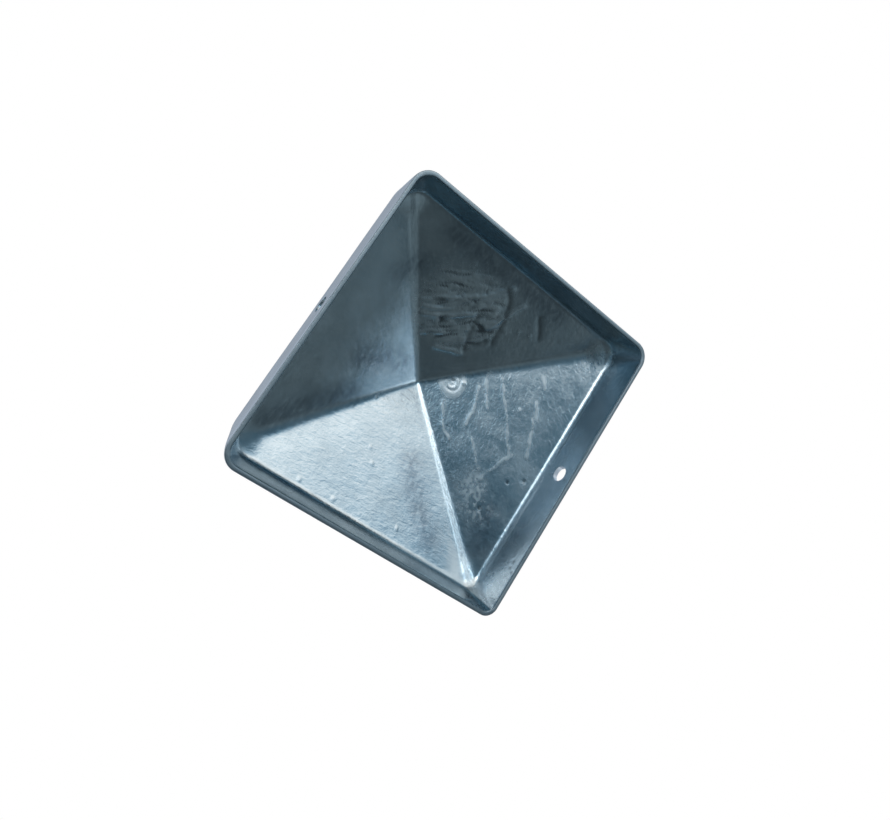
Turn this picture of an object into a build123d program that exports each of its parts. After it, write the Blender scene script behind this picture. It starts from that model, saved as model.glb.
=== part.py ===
"""Pressed steel cap for a 90 mm square fence post, hot-dip galvanised in one piece.

Millimetres. The open edge, or rim, lies in the plane z = 0 with the origin at its centre,
and the roof's apex points along +Z. The two nail holes face each other along X.
"""

import math
import os

from build123d import *

# Driving dimensions
POST_SIDE = 90.0          # square timber post that the cap covers
POST_PLAY = 0.5           # gap between post and wall, on each side, where the wall bends
SHEET = 1.5               # thickness of the steel
SKIRT_HEIGHT = 13.7       # rim to the line where wall and roof planes meet, outside
SKIRT_LEAN = 1.0          # how far each wall leans in between the rim and that line
ROOF_RISE = 22.5          # that line to the point where the four roof planes meet, outside
EDGE_RADIUS = 3.5         # outside, round every bend, ridge and wall corner
HOLE_DIAMETER = 5.0       # nail hole
HOLE_HEIGHT = 6.0         # rim to the centre of a nail hole

# Outside profile through the middle of a wall, worked out from them
LEAN = math.atan2(SKIRT_LEAN, SKIRT_HEIGHT)
BEND_HALF = POST_SIDE / 2 + POST_PLAY + SHEET
RIM_HALF = BEND_HALF + SKIRT_LEAN
PITCH = math.atan2(ROOF_RISE, BEND_HALF)
APEX_HEIGHT = SKIRT_HEIGHT + ROOF_RISE


def square_corners(half, height):
    """Corners of a level square centred on the Z axis, half being half its side."""
    return [Vector(x * half, y * half, height) for x, y in ((1, 1), (-1, 1), (-1, -1), (1, -1))]


def hipped_block(rim_half, bend_half, bend_height, apex_height):
    """Solid with four leaning walls under a four-sided roof, all edges sharp."""
    rim = square_corners(rim_half, 0)
    bend = square_corners(bend_half, bend_height)
    apex = Vector(0, 0, apex_height)
    faces = [Face(Wire.make_polygon(rim))]
    for here in range(4):
        after = (here + 1) % 4
        faces.append(Face(Wire.make_polygon([rim[here], rim[after], bend[after], bend[here]])))
        faces.append(Face(Wire.make_polygon([bend[here], bend[after], apex])))
    return Solid(Shell(faces))


def rounded(block, radius):
    """The block with every edge rounded except those of the rim."""
    above_rim = [edge for edge in block.edges() if max(point.Z for point in edge.vertices()) > 0]
    return block.fillet(radius, above_rim)


def outer_block():
    """Outer surface of the cap, filled solid."""
    return rounded(hipped_block(RIM_HALF, BEND_HALF, SKIRT_HEIGHT, APEX_HEIGHT), EDGE_RADIUS)


def inner_block():
    """Hollow of the cap: the outer planes moved in by the thickness of the sheet."""
    wall_normal = Vector(math.cos(LEAN), 0, math.sin(LEAN))
    roof_normal = Vector(math.sin(PITCH), 0, math.cos(PITCH))
    reach = SHEET / (1 + wall_normal.dot(roof_normal))
    bend = Vector(BEND_HALF, 0, SKIRT_HEIGHT) - (wall_normal + roof_normal) * reach
    rim_half = RIM_HALF - SHEET / math.cos(LEAN)
    apex_height = APEX_HEIGHT - SHEET / math.cos(PITCH)
    return rounded(hipped_block(rim_half, bend.X, bend.Z, apex_height), EDGE_RADIUS - SHEET)


def nail_drill():
    """Cylinder along X that drills both nail holes at once."""
    axis = Plane(origin=(0, 0, HOLE_HEIGHT), x_dir=(0, 1, 0), z_dir=(1, 0, 0))
    return axis * Cylinder(HOLE_DIAMETER / 2, 3 * RIM_HALF)


def cap_shell():
    """The cap: one sheet, pressed, drilled and galvanised."""
    return outer_block() - inner_block() - nail_drill()


os.makedirs("parts", exist_ok=True)
export_step(cap_shell(), "parts/cap_shell.step")
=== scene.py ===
from math import atan2, cos, pi, radians, sin, tan

import bpy
from mathutils import Euler, Matrix, Vector


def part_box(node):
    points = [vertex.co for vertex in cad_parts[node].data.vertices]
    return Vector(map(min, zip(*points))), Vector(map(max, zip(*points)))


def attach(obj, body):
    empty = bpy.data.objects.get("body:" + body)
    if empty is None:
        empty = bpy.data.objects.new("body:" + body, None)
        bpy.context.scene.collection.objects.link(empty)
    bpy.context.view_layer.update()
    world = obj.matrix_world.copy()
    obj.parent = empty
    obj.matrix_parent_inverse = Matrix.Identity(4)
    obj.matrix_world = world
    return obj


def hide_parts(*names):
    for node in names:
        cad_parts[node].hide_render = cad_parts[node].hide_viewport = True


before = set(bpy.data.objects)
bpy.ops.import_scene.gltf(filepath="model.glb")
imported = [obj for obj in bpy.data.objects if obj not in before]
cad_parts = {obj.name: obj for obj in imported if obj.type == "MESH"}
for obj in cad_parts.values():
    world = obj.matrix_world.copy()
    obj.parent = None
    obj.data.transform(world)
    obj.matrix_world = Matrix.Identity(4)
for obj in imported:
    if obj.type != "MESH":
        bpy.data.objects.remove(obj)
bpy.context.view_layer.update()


# ---------------------------------------------------------------------------------------------
# Cap shell: one blank of sheet steel, drawn into a square skirt under a four-sided roof and
# drilled through two walls, then dipped in molten zinc. Its surface is one closed skin, run
# from the apex inside, down the inner wall, round the rim and back up the outside.
# ---------------------------------------------------------------------------------------------
MM = 0.001
SHEET = 1.5 * MM
SKIRT_HEIGHT = 13.7 * MM
SKIRT_LEAN = 1.0 * MM
ROOF_RISE = 22.5 * MM
INNER_BEND = 2.8 * MM          # radius inside, where a wall turns into the roof
RIM_ROUND = 0.45 * MM          # radius that the zinc gives the two cut edges of the rim

low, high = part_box("cap_shell")
RIM_HALF = (high.x - low.x) / 2
BEND_HALF = RIM_HALF - SKIRT_LEAN
LEAN = atan2(SKIRT_LEAN, SKIRT_HEIGHT)
PITCH = atan2(ROOF_RISE, BEND_HALF)
APEX_IN = SKIRT_HEIGHT + ROOF_RISE - SHEET / cos(PITCH)

# rows of faces along the section, inside and outside
ROOF_ROWS = 88
BEND_ROWS = 8
WALL_ROWS = 21
RIM_EDGE_ROWS = 3
RIM_ROWS = 2 * RIM_EDGE_ROWS + 1
OUTER_WALL_ROWS = 9
OUTER_BEND_ROWS = 6


def profile_runs():
    """Runs of the skin's section, as (rows, length, heading at its start, turn).

    The section starts at the apex inside. A heading is the angle below level, outwards.
    """
    wall = pi / 2 - LEAN
    bend_turn = wall - PITCH
    outer_bend = INNER_BEND + SHEET
    reach = SHEET / (1 + cos(bend_turn))
    bend_half = BEND_HALF - reach * (cos(LEAN) + sin(PITCH))
    bend_height = SKIRT_HEIGHT - reach * (sin(LEAN) + cos(PITCH))
    roof_in = bend_half / cos(PITCH) - INNER_BEND * tan(bend_turn / 2)
    wall_in = bend_height / sin(wall) - INNER_BEND * tan(bend_turn / 2)
    roof_out = BEND_HALF / cos(PITCH) - outer_bend * tan(bend_turn / 2)
    wall_out = SKIRT_HEIGHT / sin(wall) - outer_bend * tan(bend_turn / 2)
    in_cut = RIM_ROUND * tan(wall / 2)
    out_cut = RIM_ROUND * tan((pi - wall) / 2)
    rim = SHEET / cos(LEAN) - in_cut - out_cut
    return [
        (ROOF_ROWS, roof_in, PITCH, 0.0),
        (BEND_ROWS, INNER_BEND * bend_turn, PITCH, bend_turn),
        (WALL_ROWS, wall_in - in_cut, wall, 0.0),
        (RIM_EDGE_ROWS, RIM_ROUND * wall, wall, -wall),
        (1, rim, 0.0, 0.0),
        (RIM_EDGE_ROWS, RIM_ROUND * (pi - wall), 0.0, wall - pi),
        (OUTER_WALL_ROWS, wall_out - out_cut, wall - pi, 0.0),
        (OUTER_BEND_ROWS, outer_bend * bend_turn, wall - pi, -bend_turn),
        (ROOF_ROWS, roof_out, PITCH - pi, 0.0),
    ]


RUNS = profile_runs()
SKIRT_ROWS = sum(run[0] for run in RUNS[1:-1])
RIM_START = ROOF_ROWS + BEND_ROWS + WALL_ROWS


def link(tree, value, socket):
    """Feeds a socket from another socket, or sets it to a plain value."""
    if isinstance(value, bpy.types.NodeSocket):
        tree.links.new(value, socket)
    else:
        socket.default_value = value


def calculate(tree, operation, *values, clamp=False):
    """Math node in any tree; returns its result."""
    node = tree.nodes.new("ShaderNodeMath")
    node.operation = operation
    node.use_clamp = clamp
    for value, socket in zip(values, node.inputs):
        link(tree, value, socket)
    return node.outputs[0]


def combine(tree, operation, *values):
    """Vector math node in any tree; returns its vector, or its number for a length."""
    node = tree.nodes.new("ShaderNodeVectorMath")
    node.operation = operation
    if operation == "SCALE":
        link(tree, values[0], node.inputs[0])
        link(tree, values[1], node.inputs["Scale"])
        return node.outputs["Vector"]
    for value, socket in zip(values, node.inputs):
        link(tree, value, socket)
    return node.outputs["Value" if operation in ("LENGTH", "DISTANCE", "DOT_PRODUCT") else "Vector"]


def xyz(tree, x, y, z):
    node = tree.nodes.new("ShaderNodeCombineXYZ")
    for value, socket in zip((x, y, z), node.inputs):
        link(tree, value, socket)
    return node.outputs[0]


def noise(tree, place, scale, detail=2.0, rough=0.5, distortion=0.0, output=0):
    """Noise of about 1/scale metres; output 0 is its number and 1 its colour."""
    node = tree.nodes.new("ShaderNodeTexNoise")
    link(tree, place, node.inputs["Vector"])
    link(tree, scale, node.inputs["Scale"])
    node.inputs["Detail"].default_value = detail
    node.inputs["Roughness"].default_value = rough
    node.inputs["Distortion"].default_value = distortion
    return node.outputs[output]


def ramp(tree, value, start, end, to_low=0.0, to_high=1.0):
    """Smooth step from to_low at start to to_high at end."""
    node = tree.nodes.new("ShaderNodeMapRange")
    node.interpolation_type = "SMOOTHSTEP"
    for given, socket in zip((value, start, end, to_low, to_high), node.inputs):
        link(tree, given, socket)
    return node.outputs[0]


def mound(tree, distance, width):
    """Bell shape of the given half width, 1 where the distance is 0."""
    share = calculate(tree, "DIVIDE", distance, width)
    square = calculate(tree, "MULTIPLY", share, share)
    return calculate(tree, "EXPONENT", calculate(tree, "MULTIPLY", square, -1.0))


# Marks in the zinc, in whole mm: x, y inside the roof, or y, z inside the +X wall
RUN_LINES = [
    [(10, 2), (14, 8), (17, 10)],
    [(16, -10), (18, -4), (19, 3)],
    [(17, -16), (17, -13), (22, -5)],
    [(21, -16), (30, -3), (34, 3)],
    [(23, 6), (29, 13)],
    [(35, 3), (33, 8), (31, 15)],
    [(35, -10), (37, -5), (39, 1)],
    [(33, -16), (36, -11)],
    [(31, -24), (33, -21)],
]
# wrinkles, raised, with painted sheen along their ridges
WRINKLE_LINES = [
    [(-18, -21), (-12, -26), (-3, -33), (2, -40)],
    [(-17, -20), (-12, -22), (-6, -30)],
    [(-15, -18), (-9, -21), (-2, -27)],
    [(-11, -13), (-6, -17)],
    [(-4, -12), (4, -15)],
    [(5, -26), (9, -38)],
]
# creases, sunk into the zinc and darkened with painted shade
FOLD_LINES = [[(1, -39), (6, -34), (10, -23)], [(0, -27), (4, -17)], [(16, -38), (21, -33)]]
# stain lines: streaky patina with painted shade beside the valleys between +X and +Y and between -X and +Y,
# and painted shade on the -X face near the apex
STAIN_AND_SHADE_LINES = [
    [(9, 23), (16, 31), (25, 39)],
    [(38, 23), (41, 33)],
    [(-40, 34), (-20, 15)],
    [(-24, -42), (20, -42)],
    [(-30, -24), (-27, -29)],
    [(-9, -2), (-15, 0), (-24, 4)],
]
PIMPLES = [(-11, 12), (-17, 18), (-6, 25), (-3, 29), (-22, 43), (-10, 43), (13, 41), (30, -11), (14, -31),
           (18, -32), (12, -8)]
PITS = [(42, 8), (35, 23), (38, 11)]
SCUFFS = [(43, -38), (31, 19), (35, 23)]
WALL_PITS = [(30, 3), (32, 3), (33, 1)]
WALL_SCUFFS = [(38, 5), (41, 2), (35, 1)]
BEAD_LINE = [(-37, 12), (0, 12), (37, 12)]
EYE = (9, -6)
CRUMPLE_CENTRE = (-5, -26)


def on_roof(x, y):
    """Point of the roof inside, in metres, from x and y in mm."""
    return (x * MM, y * MM, APEX_IN - tan(PITCH) * max(abs(x), abs(y)) * MM)


def on_wall(y, z):
    """Point of the +X wall inside, in metres, from y and z in mm."""
    return (RIM_HALF - SHEET - tan(LEAN) * z * MM, y * MM, z * MM)


def guide(name, lines):
    """Bare mesh of the given lines, or of points where a line has only one."""
    points = [p for line in lines for p in line]
    edges = []
    for line in lines:
        edges += [(points.index(a), points.index(b)) for a, b in zip(line, line[1:])]
    mesh = bpy.data.meshes.new(name)
    mesh.from_pydata(points, edges, [])
    made = bpy.data.objects.new(name, mesh)
    bpy.context.scene.collection.objects.link(made)
    return made


def on_each(place, lines):
    return [[place(*p) for p in line] for line in lines]


def alone(points):
    """Each point as a line of its own."""
    return [[p] for p in points]


GUIDES = {
    "Run lines": guide("run_lines", on_each(on_roof, RUN_LINES)),
    "Wrinkle lines": guide("wrinkle_lines", on_each(on_roof, WRINKLE_LINES)),
    "Fold lines": guide("fold_lines", on_each(on_roof, FOLD_LINES)),
    "Stain lines": guide("stain_lines", on_each(on_roof, STAIN_AND_SHADE_LINES)),
    "Bead lines": guide("bead_lines", on_each(on_wall, [BEAD_LINE])),
    "Pimples": guide("pimples", on_each(on_roof, alone(PIMPLES))),
    "Pits": guide("pits", on_each(on_roof, alone(PITS)) + on_each(on_wall, alone(WALL_PITS))),
    "Scuffs": guide("scuffs", on_each(on_roof, alone(SCUFFS)) + on_each(on_wall, alone(WALL_SCUFFS))),
}

# how far each kind of mark reaches from its line or point
MARK_REACH = {
    "Run lines": 0.42 * MM,
    "Wrinkle lines": 0.8 * MM,
    "Fold lines": 0.9 * MM,
    "Stain lines": 4.2 * MM,
    "Bead lines": 0.4 * MM,
    "Pimples": 0.42 * MM,
    "Pits": 0.4 * MM,
    "Scuffs": 4.5 * MM,
}
SPAT_REACH = 0.5 * MM
RING_PITCH = 1.7 * MM
RING_REACH = 3.2 * MM
STIR = 1.6 * MM

# a round patch fades in between these distances from its middle
PLATEAU_EDGE = (5.4 * MM, 3.8 * MM)
CRUMPLE_EDGE = (19 * MM, 9 * MM)
CRUMPLE_WAY = (0.86, -0.5, 0)
ACROSS_CRUMPLE = (0.5, 0.86, 0)
ACROSS_VALLEY = (0.7, 0.7, 0)      # square to the two valleys on the line x = -y

# sizes of the patterns in the shape, as patches to a metre
WAVE_SCALE = 34.0
SPAT_SCALE = 85.0
PEEL_SCALE = 260.0
CRUMPLE_SCALE = 330.0
SCUFF_SCALE = 900.0

NEARLY_ONE = 0.9999
VALLEY_BLEND = (3 * MM, 9 * MM)    # inwards of the bend, where its corner turns into a valley
HOLE_SIDES = 48
SHARP_ANGLE = 0.7                  # radians between two faces, past which their edge is crisp


def skin_tree():
    """Geometry Nodes tree that shapes a cube's faces into the cap's closed, zinc-coated skin."""
    tree = bpy.data.node_groups.new("pressed_cap", "GeometryNodeTree")
    face = tree.interface
    face.new_socket("Geometry", in_out="OUTPUT", socket_type="NodeSocketGeometry")
    for name, value in (("Rim corner", 4.3 * MM), ("Bend corner", 8.0 * MM), ("Valley radius", 1.4 * MM),
                        ("Valley end radius", 3.2 * MM), ("Apex rounding", 1.0 * MM), ("Tight corner", 0.6),
                        ("Hole radius", 2.5 * MM), ("Hole height", 6 * MM), ("Sheet wave", 0.35 * MM),
                        ("Zinc peel", 0.035 * MM), ("Run height", 0.06 * MM), ("Wrinkle height", 0.3 * MM),
                        ("Pimple height", 0.2 * MM)):
        socket = face.new_socket(name, in_out="INPUT", socket_type="NodeSocketFloat")
        socket.default_value = value
    for name in GUIDES:
        face.new_socket(name, in_out="INPUT", socket_type="NodeSocketObject")
    face.new_socket("Material", in_out="INPUT", socket_type="NodeSocketMaterial")
    given = tree.nodes.new("NodeGroupInput").outputs

    def m(operation, *values, clamp=False):
        return calculate(tree, operation, *values, clamp=clamp)

    cube = tree.nodes.new("GeometryNodeMeshCube")
    cube.inputs["Size"].default_value = (2, 2, 2)
    cube.inputs["Vertices X"].default_value = 2 * ROOF_ROWS + 1
    cube.inputs["Vertices Y"].default_value = 2 * ROOF_ROWS + 1
    cube.inputs["Vertices Z"].default_value = SKIRT_ROWS + 1
    split = tree.nodes.new("ShaderNodeSeparateXYZ")
    tree.links.new(tree.nodes.new("GeometryNodeInputPosition").outputs[0], split.inputs[0])
    u, v, w = split.outputs
    ring = m("MAXIMUM", m("ABSOLUTE", u), m("ABSOLUTE", v))

    # row along the section: the cube's top is the roof inside, its bottom the roof outside
    inside = m("GREATER_THAN", w, NEARLY_ONE)
    outside = m("LESS_THAN", w, -NEARLY_ONE)
    past_ring = m("MULTIPLY", m("SUBTRACT", 1.0, ring), ROOF_ROWS)
    row = m("MULTIPLY_ADD", m("SUBTRACT", 1.0, w), SKIRT_ROWS / 2, ROOF_ROWS)
    row = m("MULTIPLY_ADD", m("SUBTRACT", outside, inside), past_ring, row)

    # add up the runs of the section
    half, height, start = 0.0, APEX_IN, 0
    for rows, length, angle, turn in RUNS:
        part = m("DIVIDE", m("SUBTRACT", row, start), rows, clamp=True)
        if turn:
            radius = length / turn
            here = m("MULTIPLY_ADD", part, turn, angle)
            half = m("MULTIPLY_ADD", m("SUBTRACT", m("SINE", here), sin(angle)), radius, half)
            height = m("MULTIPLY_ADD", m("SUBTRACT", m("COSINE", here), cos(angle)), radius, height)
        else:
            half = m("MULTIPLY_ADD", part, length * cos(angle), half)
            height = m("MULTIPLY_ADD", part, -length * sin(angle), height)
        start += rows
    half = m("MAXIMUM", half, 0.0)

    # 0 on the inner skin, 1 on the outer one, and between them round the rim
    outer = m("DIVIDE", m("SUBTRACT", row, RIM_START), RIM_ROWS, clamp=True)

    # round the apex
    apex = given["Apex rounding"]
    slant = m("SQRT", m("MULTIPLY_ADD", half, half, m("MULTIPLY", apex, apex)))
    height = m("MULTIPLY_ADD", m("SUBTRACT", half, slant), tan(PITCH), height)

    # corner radius of a level cut: valley, bend, then rim; the outside is larger by the sheet
    up_wall = ramp(tree, height, 0.0, SKIRT_HEIGHT)
    up_roof = ramp(tree, half, BEND_HALF - VALLEY_BLEND[0], BEND_HALF - VALLEY_BLEND[1])
    up_roof = m("MULTIPLY", up_roof, m("GREATER_THAN", height, SKIRT_HEIGHT / 2))
    down_valley = m("DIVIDE", half, BEND_HALF)
    widening = m("SUBTRACT", given["Valley end radius"], given["Valley radius"])
    valley = m("MULTIPLY_ADD", widening, down_valley, given["Valley radius"])
    wall_radius = m("MULTIPLY_ADD", m("SUBTRACT", given["Bend corner"], given["Rim corner"]), up_wall,
                    given["Rim corner"])

    # the corner between +X and +Y is tighter than the others
    tight = m("MULTIPLY", m("GREATER_THAN", u, 0.0), m("GREATER_THAN", v, 0.0))
    wall_radius = m("MULTIPLY", wall_radius,
                    m("MULTIPLY_ADD", tight, m("SUBTRACT", given["Tight corner"], 1.0), 1.0))
    radius = m("MULTIPLY_ADD", m("SUBTRACT", valley, wall_radius), up_roof, wall_radius)
    radius = m("MINIMUM", m("MULTIPLY_ADD", outer, SHEET, radius), half)
    straight = m("SUBTRACT", half, radius)

    # place on the rounded square
    across, beside = m("ABSOLUTE", u), m("ABSOLUTE", v)
    along = m("DIVIDE", m("MINIMUM", across, beside), m("MAXIMUM", ring, 1e-6))
    length = m("MULTIPLY", along, m("MULTIPLY_ADD", radius, pi / 4, straight))
    arc = m("DIVIDE", m("MAXIMUM", m("SUBTRACT", length, straight), 0.0), m("MAXIMUM", radius, 1e-7))
    out = m("MULTIPLY_ADD", m("COSINE", arc), radius, straight)
    side = m("MULTIPLY_ADD", m("SINE", arc), radius, m("MINIMUM", length, straight))
    facing_x = m("GREATER_THAN", across, beside)
    x = m("MULTIPLY_ADD", m("SUBTRACT", out, side), facing_x, side)
    y = m("SUBTRACT", m("ADD", out, side), x)
    point = xyz(tree, m("MULTIPLY", x, m("SIGN", u)), m("MULTIPLY", y, m("SIGN", v)), height)

    def keep(geometry, name, value):
        """Stores a number on every point, for the later stages and the material."""
        node = tree.nodes.new("GeometryNodeStoreNamedAttribute")
        node.data_type = "FLOAT"
        node.inputs["Name"].default_value = name
        tree.links.new(geometry, node.inputs["Geometry"])
        link(tree, value, next(s for s in node.inputs if s.name == "Value" and s.enabled))
        return node.outputs[0]

    def kept(name):
        node = tree.nodes.new("GeometryNodeInputNamedAttribute")
        node.data_type = "FLOAT"
        node.inputs["Name"].default_value = name
        return next(s for s in node.outputs if s.name == "Attribute" and s.enabled)

    place = tree.nodes.new("GeometryNodeSetPosition")
    tree.links.new(keep(cube.outputs["Mesh"], "outer", outer), place.inputs["Geometry"])
    link(tree, point, place.inputs["Position"])
    flip = tree.nodes.new("GeometryNodeFlipFaces")
    tree.links.new(place.outputs[0], flip.inputs[0])
    geometry = flip.outputs[0]

    # marks of the dip and patches of painted shade, round guide lines and points, with their edges stirred
    # a little
    here = tree.nodes.new("GeometryNodeInputPosition").outputs[0]
    stir = combine(tree, "SUBTRACT", noise(tree, here, PEEL_SCALE, 2.0, output=1), (0.5, 0.5, 0.5))
    stirred = combine(tree, "ADD", here, combine(tree, "SCALE", stir, STIR))
    inner = m("SUBTRACT", 1.0, kept("outer"))

    def distance_to(name):
        """Distance to the guide of that name, its lines smoothed into curves."""
        lines = len(GUIDES[name].data.edges) > 0
        info = tree.nodes.new("GeometryNodeObjectInfo")
        tree.links.new(given[name], info.inputs["Object"])
        target = info.outputs["Geometry"]
        if lines:
            for kind, changes in (("GeometryNodeMeshToCurve", {}),
                                  ("GeometryNodeCurveSplineType", {"spline_type": "CATMULL_ROM"}),
                                  ("GeometryNodeCurveToMesh", {})):
                node = tree.nodes.new(kind)
                for key, value in changes.items():
                    setattr(node, key, value)
                tree.links.new(target, node.inputs[0])
                target = node.outputs[0]
        near = tree.nodes.new("GeometryNodeProximity")
        near.target_element = "EDGES" if lines else "POINTS"
        tree.links.new(target, near.inputs[0])
        link(tree, stirred, near.inputs["Sample Position"])
        return near.outputs["Distance"]

    runs, wrinkles, folds, stains_and_shade, beads, pimples, pits, scuffs = [
        m("MULTIPLY", mound(tree, distance_to(name), reach), inner)
        for name, reach in MARK_REACH.items()]
    scuffs = m("MULTIPLY", scuffs, ramp(tree, noise(tree, here, SCUFF_SCALE, 3.0), 0.42, 0.6))

    # rings of zinc that set round one spot of the roof, on a slightly raised round patch that
    # stops at the valley
    from_eye = combine(tree, "DISTANCE", stirred, on_roof(*EYE))
    below_valley = ramp(tree, combine(tree, "DOT_PRODUCT", here, (1, 1, 0)), 0.0, 1.2 * MM)
    on_face = m("MULTIPLY", below_valley, inner)
    rings = m("MULTIPLY", m("COSINE", m("MULTIPLY", from_eye, 2 * pi / RING_PITCH)), on_face)
    rings = m("MULTIPLY", rings, mound(tree, from_eye, RING_REACH))
    plateau = m("MULTIPLY", ramp(tree, from_eye, *PLATEAU_EDGE), on_face)

    # strewn pimples over the whole cap
    cells = tree.nodes.new("ShaderNodeTexVoronoi")
    cells.inputs["Scale"].default_value = SPAT_SCALE
    link(tree, here, cells.inputs["Vector"])
    spat = mound(tree, m("DIVIDE", cells.outputs["Distance"], SPAT_SCALE), SPAT_REACH)
    chance = combine(tree, "DOT_PRODUCT", cells.outputs["Color"], (1, 0, 0))
    spat = m("MULTIPLY", spat, ramp(tree, chance, 0.55, 0.9))

    # crumpled zinc skin between the wrinkles, drawn out along them
    ridge_way = combine(tree, "DOT_PRODUCT", here, CRUMPLE_WAY)
    cross_way = combine(tree, "DOT_PRODUCT", here, ACROSS_CRUMPLE)
    drawn_out = xyz(tree, m("MULTIPLY", ridge_way, 0.28), cross_way, 0.0)
    drawn = noise(tree, drawn_out, CRUMPLE_SCALE, 2.0, 0.5, 1.2)
    crumple = m("SUBTRACT", 1.0, m("ABSOLUTE", m("MULTIPLY", m("SUBTRACT", drawn, 0.5), 7.0)), clamp=True)
    from_crumple = combine(tree, "DISTANCE", here, on_roof(*CRUMPLE_CENTRE))
    crumpled = m("MULTIPLY", ramp(tree, from_crumple, *CRUMPLE_EDGE), inner)
    off_valley = combine(tree, "DOT_PRODUCT", here, ACROSS_VALLEY)
    crumpled = m("MULTIPLY", crumpled, ramp(tree, off_valley, -4 * MM, -8 * MM))
    crumple = m("MULTIPLY", crumple, crumpled)
    # the hollows between the crumples, which get painted shade below
    sunken = m("MULTIPLY", m("SUBTRACT", crumpled, crumple), ramp(tree, drawn, 0.5, 0.35))

    # height of the coat above the sheet, and the sheet's own waves, which both sides share
    wave = m("SUBTRACT", noise(tree, here, WAVE_SCALE, 0.0), 0.5)
    wave = m("MULTIPLY", wave, m("MULTIPLY_ADD", kept("outer"), 2.0, -1.0))
    wave = m("MULTIPLY", wave, ramp(tree, combine(tree, "DOT_PRODUCT", here, (0, 0, 1)), 0.0, 4 * MM))
    peel = m("SUBTRACT", noise(tree, here, PEEL_SCALE, 1.0), 0.5)
    relief = m("MULTIPLY", wave, given["Sheet wave"])
    relief = m("MULTIPLY_ADD", peel, given["Zinc peel"], relief)
    for share, height_of in ((runs, given["Run height"]), (wrinkles, given["Wrinkle height"]),
                             (folds, m("MULTIPLY", given["Wrinkle height"], -0.6)),
                             (pimples, given["Pimple height"]),
                             (spat, m("MULTIPLY", given["Pimple height"], 0.6)),
                             (pits, m("MULTIPLY", given["Pimple height"], -1.2)),
                             (rings, m("MULTIPLY", given["Run height"], 1.8)),
                             (crumple, m("MULTIPLY", given["Wrinkle height"], 0.8)),
                             (beads, given["Run height"]),
                             (plateau, given["Run height"])):
        relief = m("MULTIPLY_ADD", share, height_of, relief)

    # pale, dark and stained zinc, for the material: the pale is partly painted sheen, the dark is painted
    # shade, the stains are partly painted shade
    # pale: runs, scuffs and pimples, with painted sheen on the wrinkle and crumple ridges and on the eye
    # patch
    pale = m("MAXIMUM", m("MAXIMUM", m("MULTIPLY", runs, 0.8), plateau), m("MULTIPLY", wrinkles, 0.8))
    pale = m("MAXIMUM", pale, m("MULTIPLY", crumple, 1.1))
    pale = m("MAXIMUM", pale, m("MULTIPLY", scuffs, 1.2))
    geometry = keep(geometry, "pale", m("MAXIMUM", pale, pimples))
    # dark: painted shade in the pits, folds and hollows between crumples
    dark = m("MAXIMUM", m("MULTIPLY", folds, 0.6), m("MULTIPLY", sunken, 0.85))
    geometry = keep(geometry, "dark", m("MAXIMUM", pits, dark))
    geometry = keep(geometry, "stain_and_shade", stains_and_shade)
    coat = tree.nodes.new("GeometryNodeSetPosition")
    tree.links.new(geometry, coat.inputs["Geometry"])
    normal = tree.nodes.new("GeometryNodeInputNormal").outputs[0]
    link(tree, combine(tree, "SCALE", normal, relief), coat.inputs["Offset"])

    # one drill through both walls
    drill = tree.nodes.new("GeometryNodeMeshCylinder")
    drill.inputs["Vertices"].default_value = HOLE_SIDES
    drill.inputs["Depth"].default_value = 4 * RIM_HALF
    link(tree, given["Hole radius"], drill.inputs["Radius"])
    aim = tree.nodes.new("GeometryNodeTransform")
    tree.links.new(drill.outputs["Mesh"], aim.inputs["Geometry"])
    link(tree, xyz(tree, 0.0, 0.0, given["Hole height"]), aim.inputs["Translation"])
    aim.inputs["Rotation"].default_value = (0, pi / 2, 0)
    cut = tree.nodes.new("GeometryNodeMeshBoolean")
    cut.operation = "DIFFERENCE"
    cut.solver = "MANIFOLD"
    tree.links.new(coat.outputs[0], cut.inputs["Mesh 1"])
    tree.links.new(aim.outputs[0], cut.inputs["Mesh 2"])

    # smooth all over, except at the edges of the holes
    smooth = tree.nodes.new("GeometryNodeSetShadeSmooth")
    tree.links.new(cut.outputs["Mesh"], smooth.inputs["Geometry"])
    crisp = tree.nodes.new("GeometryNodeSetShadeSmooth")
    crisp.domain = "EDGE"
    bend = tree.nodes.new("GeometryNodeInputMeshEdgeAngle").outputs[0]
    tree.links.new(smooth.outputs[0], crisp.inputs["Geometry"])
    link(tree, m("GREATER_THAN", bend, SHARP_ANGLE), crisp.inputs["Selection"])
    crisp.inputs["Shade Smooth"].default_value = False
    real = tree.nodes.new("GeometryNodeRealizeInstances")
    tree.links.new(crisp.outputs[0], real.inputs[0])
    paint = tree.nodes.new("GeometryNodeSetMaterial")
    tree.links.new(real.outputs[0], paint.inputs["Geometry"])
    link(tree, given["Material"], paint.inputs["Material"])
    tree.links.new(paint.outputs[0], tree.nodes.new("NodeGroupOutput").inputs[0])
    return tree


def socket_id(tree, name):
    return next(s.identifier for s in tree.interface.items_tree if s.name == name and s.in_out == "INPUT")


def mixed(tree, share, one, other):
    """Colour between two others."""
    node = tree.nodes.new("ShaderNodeMix")
    node.data_type = "RGBA"
    link(tree, share, node.inputs[0])
    link(tree, one, node.inputs[6])
    link(tree, other, node.inputs[7])
    return node.outputs[2]


ZINC_DEEP = (0.485, 0.565, 0.615, 1)
ZINC_BRIGHT = (0.59, 0.665, 0.71, 1)
FLECK = (0.76, 0.81, 0.84, 1)
# pale colour for the runs, scuffs and pimples, and painted sheen on the wrinkle and crumple ridges and the
# eye patch
PALE_RUN_AND_SHEEN = (0.85, 0.9, 0.92, 1)
# colour of the stains, which is partly painted shade
STAIN_AND_SHADE = (0.22, 0.27, 0.32, 1)
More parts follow.
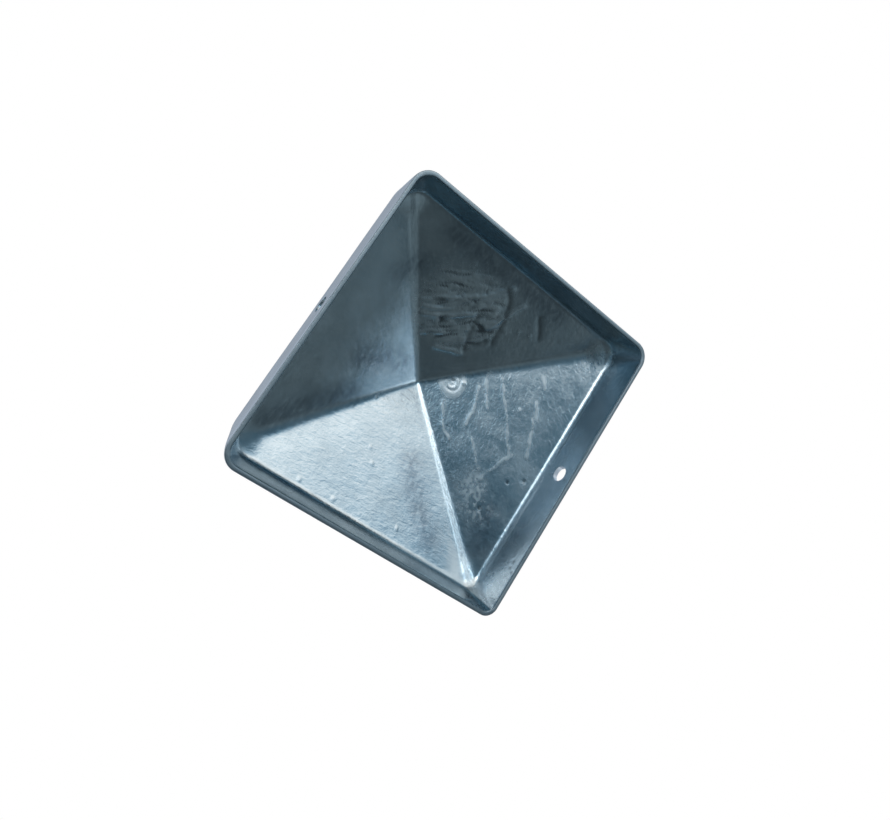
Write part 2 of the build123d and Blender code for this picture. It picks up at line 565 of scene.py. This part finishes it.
# colour of the cut edge, painted darker as shade that dims its highlight
DULL_SHADED_EDGE = (0.28, 0.34, 0.38, 1)
# near-black painted shade for the pits, folds and hollows between crumples
HOLLOW_SHADE = (0.07, 0.08, 0.09, 1)

# sizes of the patterns in the finish, as patches to a metre
CLOUD_SCALE = 85.0
SMEAR_SCALE = 120.0
FLECK_SCALE = 700.0
STREAK_SCALE = 850.0
GRAIN_SCALE = 1500.0

SMEAR_ROUGHNESS = (0.19, 0.27)
BUMP_DEPTH = 0.08 * MM
ASKEW_WAYS = ((0.27, 0.36, 0), (0.8, -0.6, 0), (0, 0, 1))
WALL_START = RIM_HALF - SKIRT_LEAN - SHEET - 0.6 * MM

# way that a wall faces, how much of its tone it shows, and the tone: painted light on one wall, painted
# shade on two
WALL_LIGHT_AND_SHADE = (((1, 0, 0), 0.75, (0.76, 0.84, 0.90, 1)),
              ((0, 1, 0), 0.95, (0.07, 0.16, 0.22, 1)),
              ((0, -1, 0), 0.6, (0.25, 0.36, 0.40, 1)))


def zinc_material():
    """Hot-dip zinc: blue-grey, clouded with patina, paler where it ran, lightly orange-peeled, with painted
    light and shade on the inner walls, ridges, creases, pits, stains and rim edge.
    """
    material = bpy.data.materials.new("galvanised_zinc")
    material.use_nodes = True
    tree = material.node_tree
    shader = tree.nodes["Principled BSDF"]
    place = tree.nodes.new("ShaderNodeTexCoord").outputs["Object"]

    def attribute(name):
        node = tree.nodes.new("ShaderNodeAttribute")
        node.attribute_name = name
        return node.outputs["Fac"]

    cloud = ramp(tree, noise(tree, place, CLOUD_SCALE, 5.0, 0.6), 0.3, 0.72)
    fleck = ramp(tree, noise(tree, place, FLECK_SCALE, 4.0, 0.65, 0.6), 0.5, 0.66)
    colour = mixed(tree, cloud, ZINC_DEEP, ZINC_BRIGHT)

    # flecks, clearer on the half of the cap towards +X and -Y
    askew = ramp(tree, combine(tree, "DOT_PRODUCT", place, (0.7, -0.7, 0)), -1 * MM, 1 * MM)
    fleck = calculate(tree, "MULTIPLY", fleck, calculate(tree, "MULTIPLY_ADD", askew, 0.3, 0.08))
    colour = mixed(tree, fleck, colour, FLECK)
    # pale runs, scuffs and pimples, and painted sheen on the wrinkle and crumple ridges and the eye patch
    pale = calculate(tree, "MULTIPLY", attribute("pale"), 0.45, clamp=True)
    colour = mixed(tree, pale, colour, PALE_RUN_AND_SHEEN)

    # painted light and shade on the inner walls: the +X wall lighter, the +Y and -Y walls darker
    inner = calculate(tree, "SUBTRACT", 1.0, attribute("outer"))
    for across, share, tone in WALL_LIGHT_AND_SHADE:
        reach = combine(tree, "DOT_PRODUCT", place, across)
        wall = ramp(tree, reach, WALL_START, WALL_START + 0.5 * MM, 0.0, share)
        colour = mixed(tree, calculate(tree, "MULTIPLY", wall, inner), colour, tone)

    # stains and painted shade, drawn out into streaks
    drawn = combine(tree, "MULTIPLY", place, (1.0, 0.45, 0.6))
    streak = ramp(tree, noise(tree, drawn, FLECK_SCALE, 3.0), 0.3, 0.62, 0.35, 1.0)
    stain_and_shade = calculate(tree, "MULTIPLY", attribute("stain_and_shade"), streak)
    colour = mixed(tree, calculate(tree, "MULTIPLY", stain_and_shade, 0.7, clamp=True), colour, STAIN_AND_SHADE)

    # the cut edge of the rim is duller and rougher, and painted darker as shade that dims its highlight
    cut_edge = calculate(tree, "MULTIPLY", attribute("outer"), inner)
    dull_and_shaded = calculate(tree, "MULTIPLY", cut_edge, 2.2, clamp=True)
    colour = mixed(tree, dull_and_shaded, colour, DULL_SHADED_EDGE)

    # painted shade in the pits, folds and hollows between crumples
    hollow_shade = calculate(tree, "MULTIPLY", attribute("dark"), 0.85, clamp=True)
    colour = mixed(tree, hollow_shade, colour, HOLLOW_SHADE)
    tree.links.new(colour, shader.inputs["Base Color"])
    shader.inputs["Metallic"].default_value = 1.0

    smear = ramp(tree, noise(tree, place, SMEAR_SCALE, 3.0, 0.6), 0.35, 0.7, *SMEAR_ROUGHNESS)
    rough = calculate(tree, "MULTIPLY_ADD", attribute("pale"), 0.12, smear)
    rough = calculate(tree, "MULTIPLY_ADD", cut_edge, 1.3, rough)
    tree.links.new(rough, shader.inputs["Roughness"])

    # the coat set in fine streaks: along X on two faces, askew on the other two
    flow = tree.nodes.new("ShaderNodeMix")
    flow.data_type = "VECTOR"
    link(tree, askew, flow.inputs[0])
    link(tree, combine(tree, "MULTIPLY", place, (0.5, 1.0, 1.0)), flow.inputs[4])
    turned = xyz(tree, *(combine(tree, "DOT_PRODUCT", place, way) for way in ASKEW_WAYS))
    link(tree, turned, flow.inputs[5])
    peel = noise(tree, flow.outputs[1], STREAK_SCALE, 3.0, 0.55, 0.5)
    fine = noise(tree, place, GRAIN_SCALE, 2.0, 0.6)
    bump = tree.nodes.new("ShaderNodeBump")
    inner_only = calculate(tree, "MULTIPLY_ADD", attribute("outer"), -0.8, 1.0)
    calm = calculate(tree, "MULTIPLY_ADD", askew, -0.12, 1.0)
    link(tree, calculate(tree, "MULTIPLY", inner_only, calm), bump.inputs["Strength"])
    bump.inputs["Distance"].default_value = BUMP_DEPTH
    link(tree, calculate(tree, "MULTIPLY_ADD", fine, 0.25, peel), bump.inputs["Height"])
    tree.links.new(bump.outputs[0], shader.inputs["Normal"])
    return material


cap_tree = skin_tree()
maker = bpy.data.objects.new("maker", bpy.data.meshes.new("maker"))
bpy.context.scene.collection.objects.link(maker)
modifier = maker.modifiers.new("skin", "NODES")
modifier.node_group = cap_tree
modifier[socket_id(cap_tree, "Material")] = zinc_material()
for name, made in GUIDES.items():
    modifier[socket_id(cap_tree, name)] = made
bpy.context.view_layer.update()
evaluated = maker.evaluated_get(bpy.context.evaluated_depsgraph_get())
mesh = bpy.data.meshes.new_from_object(evaluated)
mesh.name = "galvanised_cap"
for made in (maker, *GUIDES.values()):
    bpy.data.objects.remove(made)
cap = bpy.data.objects.new("galvanised_cap", mesh)
bpy.context.scene.collection.objects.link(cap)
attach(cap, "root")
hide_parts("cap_shell")


# ---------------------------------------------------------------------------------------------
# Studio: a plain pale floor, seen only from above and open where the cap covers it, and a camera
# that looks up into the cap. Below the floor the room is bright on one side and dark on the
# other, with a soft edge; above it the light is even.
# ---------------------------------------------------------------------------------------------
CAMERA_PLACE = Vector((-90.4, 15.9, -188.5)) * MM
CAMERA_TURN = Euler((radians(176.18), radians(22.56), radians(-36.28))).to_matrix()
RIGHT = CAMERA_TURN.col[0]
DOWN = -CAMERA_TURN.col[1]
AHEAD = -CAMERA_TURN.col[2]

FLOOR_SPAN = 3.0                # half width of the floor
OPENING = 46.2 * MM             # half width of the opening in it, hidden under the rim
FLOOR_HEIGHT = 0.05 * MM
FLOOR_GREY = (0.78, 0.79, 0.80, 1)
FLOOR_PALE = (0.82, 0.83, 0.84, 1)


def floor_material():
    """Matt pale paper from above, and clear from below."""
    material = bpy.data.materials.new("pale_floor")
    material.use_nodes = True
    tree = material.node_tree
    shader = tree.nodes["Principled BSDF"]
    shader.inputs["Roughness"].default_value = 0.7
    place = tree.nodes.new("ShaderNodeTexCoord").outputs["Object"]
    colour = mixed(tree, noise(tree, place, 9.0, 3.0), FLOOR_GREY, FLOOR_PALE)
    tree.links.new(colour, shader.inputs["Base Color"])
    clear = tree.nodes.new("ShaderNodeBsdfTransparent")
    mix = tree.nodes.new("ShaderNodeMixShader")
    tree.links.new(tree.nodes.new("ShaderNodeNewGeometry").outputs["Backfacing"], mix.inputs[0])
    tree.links.new(shader.outputs[0], mix.inputs[1])
    tree.links.new(clear.outputs[0], mix.inputs[2])
    tree.links.new(mix.outputs[0], tree.nodes["Material Output"].inputs["Surface"])
    return material


square = ((-1, -1), (1, -1), (1, 1), (-1, 1))
floor_mesh = bpy.data.meshes.new("floor")
corners = [(x * span, y * span, FLOOR_HEIGHT) for span in (FLOOR_SPAN, OPENING) for x, y in square]
floor_mesh.from_pydata(corners, [], [(0, 1, 5, 4), (1, 2, 6, 5), (2, 3, 7, 6), (3, 0, 4, 7)])
floor_mesh.materials.append(floor_material())
floor = bpy.data.objects.new("floor", floor_mesh)
bpy.context.scene.collection.objects.link(floor)

camera_data = bpy.data.cameras.new("camera")
camera_data.lens = 29.42
camera_data.sensor_width = 36
camera_data.shift_x = -0.0015
camera_data.shift_y = -0.1166
camera_data.clip_start = 0.005
camera_data.clip_end = 20
camera = bpy.data.objects.new("camera", camera_data)
bpy.context.scene.collection.objects.link(camera)
camera.matrix_world = Matrix.Translation(CAMERA_PLACE) @ CAMERA_TURN.to_4x4()
bpy.context.scene.camera = camera

sun_data = bpy.data.lights.new("key_above", "SUN")
sun_data.energy = 2.5
sun_data.color = (1.0, 0.96, 0.9)
sun_data.angle = 0.7
sun = bpy.data.objects.new("key_above", sun_data)
bpy.context.scene.collection.objects.link(sun)
sun.visible_glossy = False
sun.rotation_mode = "QUATERNION"
sun.rotation_quaternion = Vector((-0.6, -0.6, 0.8)).to_track_quat("Z", "Y")

# Patches of light: right, down and back as the camera sees them, cosine of the edge, and
# strength. The last takes light away.
GLOWS = ((0.60, -0.27, 0.76, 0.955, 2.5),
         (0.86, -0.36, 0.37, 0.93, 0.35),
         (-0.17, -0.47, 0.86, 0.955, 2.1),
         (0.65, 0.63, 0.42, 0.9, 0.15),
         (-0.15, 0.15, 0.97, 0.9, -0.13))
DIM_LEVEL = (0.085, 0.18)
BLUE_BELOW = (0.68, 0.90, 1.0, 1)
BLUE_ABOVE = (0.38, 0.74, 1.0, 1)
SKY_WHITE = (1.0, 0.985, 0.955, 1)
OVERHEAD_BLUE = (0.79, 0.87, 1.0, 1)
OVERHEAD_LEVEL = 0.44

world = bpy.data.worlds.new("studio")
bpy.context.scene.world = world
world.use_nodes = True
tree = world.node_tree
room = tree.nodes["Background"]
toward = combine(tree, "NORMALIZE", tree.nodes.new("ShaderNodeTexCoord").outputs["Generated"])
up_side = combine(tree, "DOT_PRODUCT", toward, tuple(-DOWN))
right_side = combine(tree, "DOT_PRODUCT", toward, tuple(RIGHT))


def patch_towards(centre, edge, strength):
    """Soft round patch of light in that direction, fading out at the cosine given as edge."""
    share = ramp(tree, combine(tree, "DOT_PRODUCT", toward, tuple(Vector(centre).normalized())), edge, 1.0)
    return calculate(tree, "MULTIPLY", share, strength)


def patch(right, down, back, edge, strength):
    """The same, with the direction given as the camera sees it."""
    return patch_towards(RIGHT * right + DOWN * down - AHEAD * back, edge, strength)


# the bright side, with its soft slanting edge, and the dim side
sky_edge = calculate(tree, "MINIMUM", calculate(tree, "MULTIPLY_ADD", right_side, -0.33, 0.37), 0.36)
sky = ramp(tree, up_side, sky_edge, 0.45)
sky = calculate(tree, "MULTIPLY", sky, ramp(tree, right_side, -0.45, 0.0, 0.25, 1.0))
dim = calculate(tree, "ADD", ramp(tree, up_side, -0.62, -0.38, *DIM_LEVEL),
                ramp(tree, up_side, 0.0, 0.2, 0.0, 0.04))
glow = 0.0
for glowing in GLOWS:
    glow = calculate(tree, "ADD", patch(*glowing), glow)
light = calculate(tree, "ADD", calculate(tree, "MULTIPLY_ADD", sky, 0.95, dim), glow)
tint = mixed(tree, ramp(tree, up_side, -0.4, -0.1), BLUE_BELOW, BLUE_ABOVE)
white = calculate(tree, "MULTIPLY_ADD", glow, 0.22, sky, clamp=True)
tint = mixed(tree, white, tint, SKY_WHITE)

# above the floor: an even, slightly blue room with two broad soft boxes
above = ramp(tree, combine(tree, "DOT_PRODUCT", toward, (0, 0, 1)), 0.0, 0.1)
overhead = calculate(tree, "ADD", patch_towards((-0.6, 0.05, 0.8), 0.8, 0.35), OVERHEAD_LEVEL)
overhead = calculate(tree, "ADD", patch_towards((0.35, -0.6, 0.7), 0.75, 0.4), overhead)
light = calculate(tree, "MULTIPLY_ADD", calculate(tree, "SUBTRACT", overhead, light), above, light)
tree.links.new(mixed(tree, above, tint, OVERHEAD_BLUE), room.inputs["Color"])
tree.links.new(light, room.inputs["Strength"])

# the camera itself sees plain white
seen = tree.nodes.new("ShaderNodeBackground")
seen.inputs["Color"].default_value = (1, 1, 1, 1)
mix = tree.nodes.new("ShaderNodeMixShader")
tree.links.new(tree.nodes.new("ShaderNodeLightPath").outputs["Is Camera Ray"], mix.inputs[0])
tree.links.new(room.outputs[0], mix.inputs[1])
tree.links.new(seen.outputs[0], mix.inputs[2])
tree.links.new(mix.outputs[0], tree.nodes["World Output"].inputs[0])
bpy.context.scene.view_settings.view_transform = "Standard"
